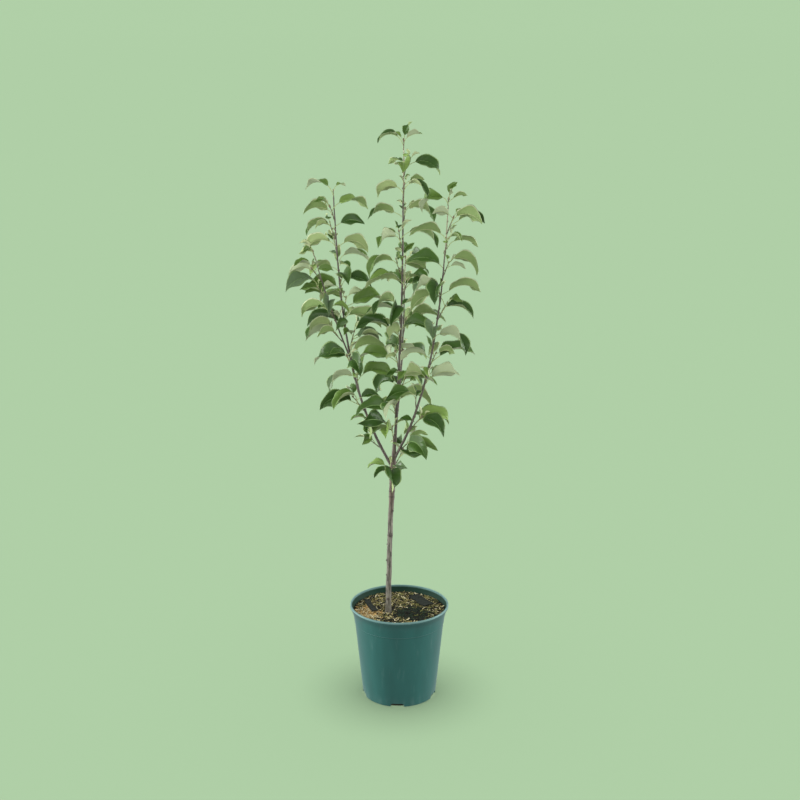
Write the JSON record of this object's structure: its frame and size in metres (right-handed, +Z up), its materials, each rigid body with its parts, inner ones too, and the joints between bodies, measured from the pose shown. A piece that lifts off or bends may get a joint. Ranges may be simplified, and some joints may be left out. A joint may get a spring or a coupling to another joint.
{
  "type": "potted dwarf apple tree",
  "caption": "Young dwarf apple tree with a slim trunk, rising boughs and short leafy spurs, standing in a round plastic nursery pot filled with compost.",
  "frame": {"origin": "centre of the pot's flat underside, which is what the plant stands on", "axes": "+Z up along the pot's axis, -Y towards the viewer, +X to the viewer's right"},
  "size_m": [0.4644, 0.3502, 1.4419],
  "materials": {
    "pot": "dark teal green plastic with a soft sheen",
    "compost": "loose straw-coloured and dark brown chips of bark and peat",
    "bark_flake": "dark grey weathered bark",
    "bark": "smooth grey brown young bark, purplish on the boughs",
    "leaves": "mid green leaves with pale grey green undersides"
  },
  "bodies": {
    "root": {"pot": "pot", "compost": "compost", "flake_left": "bark_flake", "flake_right": "bark_flake", "trunk": "bark", "bough_left": "bark", "bough_right": "bark", "shoot_left": "bark", "bough_back": "bark", "spur_bough_back_01": "leaves", "spur_bough_back_02": "leaves", "spur_bough_back_03": "leaves", "spur_bough_back_04": "leaves", "spur_bough_back_05": "leaves", "spur_bough_left_01": "leaves", "spur_bough_left_02": "leaves", "spur_bough_left_03": "leaves", "spur_bough_left_04": "leaves", "spur_bough_left_05": "leaves", "spur_bough_left_06": "leaves", "spur_bough_left_07": "leaves", "spur_bough_left_08": "leaves", "spur_bough_left_09": "leaves", "spur_bough_left_10": "leaves", "spur_bough_left_11": "leaves", "spur_bough_left_12": "leaves", "spur_bough_left_13": "leaves", "spur_bough_left_14": "leaves", "spur_bough_right_01": "leaves", "spur_bough_right_02": "leaves", "spur_bough_right_03": "leaves", "spur_bough_right_04": "leaves", "spur_bough_right_05": "leaves", "spur_bough_right_06": "leaves", "spur_bough_right_07": "leaves", "spur_bough_right_08": "leaves", "spur_bough_right_09": "leaves", "spur_bough_right_10": "leaves", "spur_bough_right_11": "leaves", "spur_bough_right_12": "leaves", "spur_shoot_left_01": "leaves", "spur_shoot_left_02": "leaves", "spur_shoot_left_03": "leaves", "spur_shoot_left_04": "leaves", "spur_shoot_left_05": "leaves", "spur_trunk_01": "leaves", "spur_trunk_02": "leaves", "spur_trunk_03": "leaves", "spur_trunk_04": "leaves", "spur_trunk_05": "leaves", "spur_trunk_06": "leaves", "spur_trunk_07": "leaves", "spur_trunk_08": "leaves", "spur_trunk_09": "leaves", "spur_trunk_10": "leaves", "spur_trunk_11": "leaves", "spur_trunk_12": "leaves", "spur_trunk_13": "leaves", "spur_trunk_14": "leaves", "spur_trunk_15": "leaves"}
  },
  "joints": []
}
